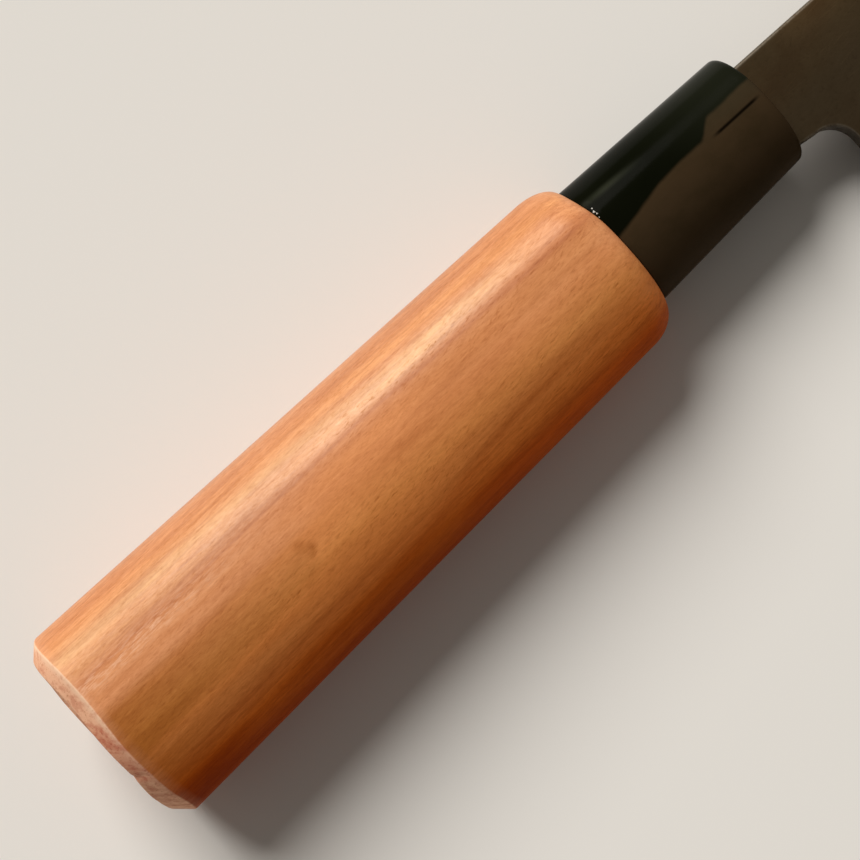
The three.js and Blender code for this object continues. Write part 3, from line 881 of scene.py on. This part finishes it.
def from_tip(reach, lean):
    """The point at that reach behind the tip, up by its leaning angle."""
    return tip + reach * np.array([-np.cos(lean), np.sin(lean)])


def bezier(corners):
    """A cubic curve over its four corners, as the sum of each corner times its share."""
    share = np.linspace(0, 1, CURVE_STEPS)[:, None]
    rest = 1 - share
    weights = [rest**3, 3 * share * rest**2, 3 * share**2 * rest, share**3]
    return sum(weight * corner for weight, corner in zip(weights, corners))


def spine_height(x):
    """The straight part of the spine, falling by its slope from the top of the neck."""
    return NECK_ABOVE_AXIS - x * SPINE_SLOPE


edge_curve = bezier([heel, heel + [EDGE_STRAIGHT, 0], from_tip(EDGE_TIP_REACH, EDGE_TIP_ANGLE), tip])
spine_lead = SPINE_STRAIGHT + SPINE_SWEEP
spine_sweep = bezier([
    np.array([SPINE_STRAIGHT, spine_height(SPINE_STRAIGHT)]),
    np.array([spine_lead, spine_height(spine_lead)]),
    from_tip(SPINE_TIP_REACH, SPINE_TIP_ANGLE),
    tip,
])


def spine_at(x):
    """Points of the spine at x: the straight line, and the sweep to the tip past its end."""
    swept = np.interp(x, spine_sweep[:, 0], spine_sweep[:, 1])
    return np.stack([x, np.where(x < SPINE_STRAIGHT, spine_height(x), swept)], -1)


def tang_side(sign):
    """One edge of the tang, straight from its end to its root."""
    end = np.array([-TANG_LENGTH, sign * TANG_END_HEIGHT / 2])
    root = np.array([0.0, COLLAR_RISE + sign * TANG_ROOT_HEIGHT / 2])
    return end + (root - end) * np.linspace(0, 1, TANG_ROWS)[:, None]


neck_start = np.array([ROOT_X, -NECK_BELOW_AXIS])
neck_end = np.array([NECK_LENGTH - NECK_FILLET, -NECK_BELOW_AXIS - NECK_FLARE])
neck_share = np.linspace(0, 1, NECK_ROWS)[:, None]
neck_line = neck_start * (1 - neck_share) + neck_end * neck_share
fillet_turn = np.linspace(0, np.pi / 2, FILLET_ROWS)[1:]
fillet_swing = np.stack([np.sin(fillet_turn), np.cos(fillet_turn) - 1], -1)
fillet_line = neck_end + NECK_FILLET * fillet_swing
heel_y = np.linspace(neck_end[1] - NECK_FILLET, -HEEL_DEPTH, HEEL_ROWS)[1:]
heel_line = np.stack([np.full(len(heel_y), NECK_LENGTH), heel_y], -1)
edge_share = 1 - (1 - np.linspace(0, 1, EDGE_ROWS)[1:-1]) ** EDGE_CROWDING
edge_x = NECK_LENGTH + BLADE_LENGTH * edge_share
edge_line = np.stack([edge_x, np.interp(edge_x, edge_curve[:, 0], edge_curve[:, 1])], -1)
lower = np.vstack([tang_side(-1), neck_line, fillet_line, heel_line, edge_line])
spine_x = np.concatenate([
    np.linspace(ROOT_X, SPINE_OVER_NECK, len(neck_line)),
    np.linspace(SPINE_OVER_NECK, SPINE_OVER_FILLET, len(fillet_line) + 1)[1:],
    np.linspace(SPINE_OVER_FILLET, SPINE_OVER_HEEL, len(heel_line) + 1)[1:],
    SPINE_OVER_HEEL + (tip[0] - SPINE_OVER_HEEL) * edge_share,
])
upper = np.vstack([tang_side(1), spine_at(spine_x)])
down = lower - upper
length = np.linalg.norm(down, axis=1)


def slant_to(boundary):
    """How squarely the section lines meet a boundary: the sine of the angle between them."""
    along = np.gradient(boundary, axis=0)
    along /= np.linalg.norm(along, axis=1)[:, None]
    crossing = np.abs(along[:, 0] * down[:, 1] - along[:, 1] * down[:, 0]) / length
    return np.clip(crossing, SLANT_LEAST, 1)


def above_edge(places):
    """Height over the cutting edge, taken straight down to it, or to the heel's level behind the heel."""
    return places[..., 1] - np.interp(places[..., 0], edge_curve[:, 0], edge_curve[:, 1])


def half_thickness(x):
    """Half of the stock: straight tapers from the neck to the tip and to the tang's end."""
    ends = ([-TANG_LENGTH, 0, tip[0]], [TANG_END_HALF, STOCK_HALF, TIP_HALF])
    return np.interp(x, *ends)


on_tang = np.arange(len(lower)) < TANG_ROWS
on_edge = np.arange(len(lower)) >= len(lower) - len(edge_line)
ease_top = np.minimum(np.where(on_tang, TANG_EASE, SPINE_EASE), EASE_LIMIT * length)
ease_low = np.where(on_edge, 0.0, np.where(on_tang, TANG_EASE, NECK_EASE))
top_reach = ease_top / slant_to(upper) / length
low_reach = np.where(on_edge, HONED, ease_low) / slant_to(lower) / length
low_reach = np.minimum(low_reach, REACH_LIMIT)


def face_side(bevel, sign):
    """One face of the blade as rows of points from its lower boundary to the spine. Along each section
    line the points ease over the spine's corner, run down the flat to the bevel's line, down the bevel,
    and over the honed strip or the eased corner. The height of the face is the least of the stock,
    the bevel's plane, the honed strip's plane and the two eased corners."""
    trial = np.linspace(0, 1, TRIAL_STEPS)
    heights = above_edge(upper[:, None] + down[:, None] * trial[:, None])
    crossing = np.argmax(heights < bevel, axis=1)
    line_at = np.where(crossing > 0, trial[crossing], 1.0)
    line_at = np.clip(line_at, top_reach + LINE_MARGINS[0], 1 - low_reach - LINE_MARGINS[1])
    round_over = (1 - np.cos(np.linspace(0, np.pi / 2, EASE_ROWS)))[None]
    flat = np.linspace(0, 1, FLAT_ROWS)[None, 1:]
    ground = np.linspace(0, 1, BEVEL_ROWS)[None, 1:]
    share = np.hstack([
        top_reach[:, None] * round_over,
        top_reach[:, None] + (line_at - top_reach)[:, None] * flat,
        line_at[:, None] + (1 - low_reach - line_at)[:, None] * ground,
        1 - low_reach[:, None] * (1 - round_over[:, 1:]),
    ])
    places = upper[:, None] + down[:, None] * share[..., None]
    height = above_edge(places)
    half = half_thickness(places[..., 0])
    middle = -EDGE_OFFSET * sign
    slope = (half - middle - EDGE_HALF) / bevel
    honed_top = middle + EDGE_HALF + slope * HONED
    honed_slope = (honed_top - middle - HONED_HALF) / HONED
    out = np.minimum(half, middle + EDGE_HALF + slope * height)
    out = np.minimum(out, middle + HONED_HALF + honed_slope * height)
    corners = ((share, ease_top, slant_to(upper)), (1 - share, ease_low, slant_to(lower)))
    for reach, ease, slant in corners:
        gap = np.clip(ease[:, None] - reach * (length * slant)[:, None], 0, ease[:, None])
        out = out - (ease[:, None] - np.sqrt(ease[:, None] ** 2 - gap**2))
    points = np.concatenate([places, sign * out[..., None]], -1)
    return points, height / bevel, np.minimum(share, 1 - share) * length[:, None]


right_face, right_ground, right_rim = face_side(RIGHT_BEVEL, 1)
left_face, left_ground, left_rim = face_side(LEFT_BEVEL, -1)
blade = skin("forged_blade", np.hstack([right_face[:, ::-1], left_face]), False, BLADE_CREASE)
mark(blade, "bevel_height", np.hstack([right_ground[:, ::-1], left_ground]))
mark(blade, "rim_reach", np.hstack([right_rim[:, ::-1], left_rim]))

# Forge scale on the flats, mottled and finely pitted, rubbed through along the rims
SCALE_DARK = (0.042, 0.0252, 0.0100, 1)
SCALE_LIGHT = (0.053, 0.0345, 0.0152, 1)
MOTTLE_GRAIN = ((0.10, 0.14, 0.14), 5, 0.6)
MOTTLE_EDGE = (0.36, 0.66)
PIT_GRAIN = ((1.6, 1.6, 1.6), 3, 0.6)
PIT_DARK = ((0.45, 0.25), (0.86, 0.85, 0.84))
THIN_ACROSS = (1.0, 6.5)
THIN_ALONG = (4, 14)
THIN_TINT = (1.70, 1.60, 1.52)
LOW_SCALE = ((2, -4), (0.78, 0.81, 0.88))
SCRATCH_TINT = (1.25, 1.25, 1.25)
WORN_RIM = (0.12, 0.10, 0.075, 1)
RIM_WIDTH = (0.55, 0.1)
RIM_PITS = (0.25, 0.6)
RIM_ALONG = (0.0, 0.2)

steel, tree, shader = start_material("scaled_steel")
place, along, across, out = on_knife(tree)
smudges, hairlines = handling(tree, place)
mottle = noise(tree, place, *MOTTLE_GRAIN)
pits = noise(tree, place, *PIT_GRAIN)
scale_colour = mix(tree, step(tree, mottle, *MOTTLE_EDGE), SCALE_DARK, SCALE_LIGHT)
thin_scale = product(tree, step(tree, across, *THIN_ACROSS), step(tree, along, *THIN_ALONG))
scale_colour = stain(tree, scale_colour, thin_scale, THIN_TINT)
scale_colour = shaded(tree, scale_colour, across, *LOW_SCALE)
scale_colour = shaded(tree, scale_colour, pits, *PIT_DARK)
scale_colour = stain(tree, scale_colour, hairlines, SCRATCH_TINT)
worn = product(
    tree,
    step(tree, kept(tree, "rim_reach"), *RIM_WIDTH),
    step(tree, pits, *RIM_PITS),
    step(tree, along, *RIM_ALONG),
)
scale_colour = mix(tree, worn, scale_colour, WORN_RIM)

# The ground bevel, bare, with grinding lines that run down to the edge, and the honed strip
BARE_STEEL = (0.43, 0.42, 0.40, 1)
WAVER_GRAIN = ((0.06, 0.06, 0.06), 3, 0.5)
WAVER = 0.05
GROUND_LINE = (1.030, 1.018)
GROUND_FROM = (NECK_LENGTH - 1, NECK_LENGTH + 0.5)
HONED_LINE = (0.064, 0.052)
GRINDING_LEAN = 0.12
GRINDING_GRAIN = ((5.5, 0.05, 0.05), 3, 0.7)
GRINDING_DARK = ((0.6, 0.3), (0.80, 0.80, 0.80))
GRINDING_DEPTH = 0.35
STEEL_SMUDGE_TINT = (0.90, 0.88, 0.84)
SCALE_ROUGHNESS = (0.46, 0.62)
SMUDGE_ROUGHNESS = -0.05
BARE_ROUGHNESS = (0.50, 0.66)
HONED_ROUGHNESS = -0.2
BARE_METAL = (0.55, 0.95)
WORN_METAL = (0.12, 0.52)
BLADE_BUMP = 0.00003
STEEL_SPECULAR = 0.15

bevel_height = kept(tree, "bevel_height")
waver = scaled(tree, noise(tree, place, *WAVER_GRAIN), WAVER, bevel_height)
ground = product(tree, step(tree, waver, *GROUND_LINE), step(tree, along, *GROUND_FROM))
honed = step(tree, bevel_height, *HONED_LINE)
grinding = noise(tree, turned(tree, place, GRINDING_LEAN), *GRINDING_GRAIN)
bare_colour = shaded(tree, BARE_STEEL, grinding, *GRINDING_DARK)
bare_colour = stain(tree, bare_colour, smudges, STEEL_SMUDGE_TINT)
colour = mix(tree, ground, scale_colour, bare_colour)
scale_roughness = scaled(tree, smudges, SMUDGE_ROUGHNESS, between(tree, pits, *SCALE_ROUGHNESS))
bare_roughness = scaled(tree, honed, HONED_ROUGHNESS, between(tree, grinding, *BARE_ROUGHNESS))
spread = reckon(tree, "SUBTRACT", bare_roughness, scale_roughness)
roughness = scaled(tree, ground, spread, scale_roughness)
bare_relief = product(tree, grinding, GRINDING_DEPTH)
relief = scaled(tree, ground, reckon(tree, "SUBTRACT", bare_relief, pits), pits)
finish_material(tree, shader, colour, roughness, relief, BLADE_BUMP)
bare_metal = product(tree, ground, between(tree, honed, *BARE_METAL))
metal = reckon(tree, "MAXIMUM", bare_metal, between(tree, worn, *WORN_METAL))
tree.links.new(metal, shader.inputs["Metallic"])
shader.inputs["Specular IOR Level"].default_value = STEEL_SPECULAR
blade.data.materials.append(steel)
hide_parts("blade")
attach(blade, "root")

# Tang bedding
# Set adhesive, the colour of dull honey, that fills the slot round the tang. It was poured in as the tang
# was pushed home, and only its end shows, beside the root of the blade.
RESIN = (0.50, 0.42, 0.28, 1)
RESIN_DARK = (0.36, 0.28, 0.17, 1)
RESIN_GRAIN = ((420.0, 420.0, 420.0), 4, 0.6)
BUBBLE_GRAIN = ((2600.0, 2600.0, 2600.0), 1, 0.5)
BUBBLE_EDGE = (0.68, 0.76)
BUBBLE_TINT = (0.6, 0.55, 0.5)
RESIN_ROUGHNESS = (0.35, 0.55)
RESIN_BUMP = 0.00005

resin, tree, shader = start_material("set_resin")
place = node(tree, "ShaderNodeTexCoord", {}).outputs["Object"]
cloudy = noise(tree, place, *RESIN_GRAIN)
bubbles = step(tree, noise(tree, place, *BUBBLE_GRAIN), *BUBBLE_EDGE)
colour = stain(tree, mix(tree, cloudy, RESIN, RESIN_DARK), bubbles, BUBBLE_TINT)
roughness = between(tree, cloudy, *RESIN_ROUGHNESS)
finish_material(tree, shader, colour, roughness, reckon(tree, "SUBTRACT", cloudy, bubbles), RESIN_BUMP)
frame["nodes"]["tang_bedding"].material_slots[0].material = resin

# Glue fleck
# A few crumbs of white glue that were squeezed out of the seam between wood and collar when the collar
# was pushed home. They dried there, half sunk in the seam, and hold by themselves.
CRUMB_TURN = np.radians([30.6, 33.8, 27.9, 24.6])
CRUMB_X = (-26.25, -26.1, -26.15, -26.3)
CRUMB_SIZE = (0.17, 0.11, 0.12, 0.08)
CRUMB_ROWS = 15
CRUMB_SIDES = 24
CRUMB_LUMPS = 0.22
CRUMB_WAVES = (3, 5)
CRUMB_PHASES = (20, 9)
CRUMB_SHORTER = 0.8
CRUMB_FLATTER = 0.6
CRUMB_CREASE = 60
GLUE_WHITE = (0.60, 0.60, 0.57, 1)
GLUE_GRAIN = ((7.0, 7.0, 7.0), 3, 0.6)
GLUE_DARK = ((0.5, 0.3), (0.8, 0.78, 0.72))
GLUE_ROUGHNESS = (0.4, 0.6)
GLUE_BUMP = 0.00004

crumb_lean = np.linspace(0, np.pi, CRUMB_ROWS + 2)[1:-1, None]
crumb_round = np.linspace(0, 2 * np.pi, CRUMB_SIDES, endpoint=False)[None]


def crumb(turn_at, x, size):
    """Rings of one crumb: a ball whose radius swells in three waves round it and five half waves from
    pole to pole, half sunk where the seam's outline passes at that angle and flattened towards it."""
    waves = np.sin(CRUMB_WAVES[0] * crumb_round + CRUMB_PHASES[0] * turn_at) * np.sin(crumb_lean) ** 2
    half_waves = np.cos(CRUMB_WAVES[1] * crumb_lean + CRUMB_PHASES[1] * turn_at)
    radius = size * (1 + CRUMB_LUMPS * waves + CRUMB_LUMPS / 2 * half_waves)
    outward = np.array([0.0, np.sin(turn_at), np.cos(turn_at)])
    sideways = np.array([0.0, np.cos(turn_at), -np.sin(turn_at)])
    half_back = np.array([0.0, *COLLAR_BACK]) / 2 * (1 + COLLAR_RIDGE)
    seat_at = np.array([x, COLLAR_RISE, 0.0]) + half_back * outward
    level = radius * np.sin(crumb_lean)
    lengthwise = (level * np.cos(crumb_round))[..., None] * np.array([CRUMB_SHORTER, 0.0, 0.0])
    crosswise = (level * np.sin(crumb_round))[..., None] * sideways
    lift = (CRUMB_FLATTER * radius * np.cos(crumb_lean))[..., None] * outward
    return seat_at + lengthwise + crosswise + lift


glue, tree, shader = start_material("dried_glue")
place, along, across, out = on_knife(tree)
grains = noise(tree, place, *GLUE_GRAIN)
colour = shaded(tree, GLUE_WHITE, grains, *GLUE_DARK)
finish_material(tree, shader, colour, between(tree, grains, *GLUE_ROUGHNESS), grains, GLUE_BUMP)
for number, (turn_at, x, size) in enumerate(zip(CRUMB_TURN, CRUMB_X, CRUMB_SIZE)):
    glue_crumb = skin(f"glue_crumb_{number + 1}", crumb(turn_at, x, size), False, CRUMB_CREASE)
    glue_crumb.data.materials.append(glue)
    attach(glue_crumb, "root")

# Floor
# A plain pale studio floor at the height of the ground plane, far larger than the view. The knife lies on
# it, and it is no part of the knife.
FLOOR_REACH = 9
FLOOR_LINES = 31
FLOOR_COLOUR = (0.8, 0.79, 0.77, 1)
FLOOR_ROUGHNESS = 0.8

floor_lines = np.linspace(-FLOOR_REACH, FLOOR_REACH, FLOOR_LINES)
floor_x, floor_y = np.meshgrid(floor_lines, floor_lines)
floor_points = np.stack([floor_x, floor_y, np.zeros_like(floor_x)], -1).reshape(-1, 3)
cell = np.arange(FLOOR_LINES**2).reshape(FLOOR_LINES, FLOOR_LINES)
floor_faces = np.stack([cell[:-1, :-1], cell[:-1, 1:], cell[1:, 1:], cell[1:, :-1]], -1).reshape(-1, 4)
floor_mesh = bpy.data.meshes.new("floor")
floor_mesh.from_pydata(floor_points.tolist(), [], floor_faces.tolist())
floor = bpy.data.objects.new("floor", floor_mesh)
bpy.context.scene.collection.objects.link(floor)
floor_material, tree, shader = start_material("pale_floor")
shader.inputs["Base Color"].default_value = FLOOR_COLOUR
shader.inputs["Roughness"].default_value = FLOOR_ROUGHNESS
floor_mesh.materials.append(floor_material)

# Light and camera
# A soft, far key light stands low on the spine's side, and the room is dim and even. The camera looks
# down on the right face of the grip, rolled so that the knife points up to the right.
KEY_FROM = np.array([0.05, 0.839, 0.545])
KEY_DISTANCE = 500
KEY_SPREAD = np.radians(36)
KEY_LEVEL = 3.6
KEY_COLOUR = (1.0, 0.96, 0.90)
ROOM_COLOUR = (1.0, 0.92, 0.82, 1)
ROOM_LEVEL = 0.15
CAMERA_AT = np.array([-79.524, 13.793, 270.035])
CAMERA_TARGET = np.array([-59.332, -0.398, 0.0])
CAMERA_ROLL = np.radians(136.337)
CAMERA_LENS = 89.52
SENSOR_WIDTH = 36
CLIP = (0.01, 50)


def placed(axes, at):
    """The matrix of a thing whose own x, y and z axes, and place, are given in the knife's frame."""
    matrix = np.eye(4)
    matrix[:3, :3] = (axes @ knife_axes).T
    matrix[:3, 3] = lay_down(at)
    return Matrix(matrix.tolist())


def facing(back, roll):
    """Axes of a lamp or a camera: z points back along its line of sight. Before the roll y stands square to
    that line and to the knife's length, and the roll then turns x towards y."""
    back = back / np.linalg.norm(back)
    side = np.cross([1.0, 0.0, 0.0], back)
    side /= np.linalg.norm(side)
    level = np.cross(side, back)
    rolled_x = np.cos(roll) * level + np.sin(roll) * side
    rolled_y = np.cos(roll) * side - np.sin(roll) * level
    return np.array([rolled_x, rolled_y, back])


key = bpy.data.lights.new("key_lamp", "SUN")
key.angle = KEY_SPREAD
key.energy = KEY_LEVEL
key.color = KEY_COLOUR
key_lamp = bpy.data.objects.new("key_lamp", key)
key_lamp.matrix_world = placed(facing(KEY_FROM, 0.0), KEY_DISTANCE * KEY_FROM)
bpy.context.scene.collection.objects.link(key_lamp)

room = bpy.data.worlds.new("room")
room.use_nodes = True
background = room.node_tree.nodes["Background"]
background.inputs["Color"].default_value = ROOM_COLOUR
background.inputs["Strength"].default_value = ROOM_LEVEL
bpy.context.scene.world = room

view = bpy.data.cameras.new("photo_view")
view.lens = CAMERA_LENS
view.sensor_width = SENSOR_WIDTH
view.clip_start, view.clip_end = CLIP
camera = bpy.data.objects.new("photo_view", view)
camera.matrix_world = placed(facing(CAMERA_AT - CAMERA_TARGET, CAMERA_ROLL), CAMERA_AT)
bpy.context.scene.collection.objects.link(camera)
bpy.context.scene.camera = camera
bpy.context.scene.view_settings.view_transform = "Standard"

bpy.context.view_layer.update()
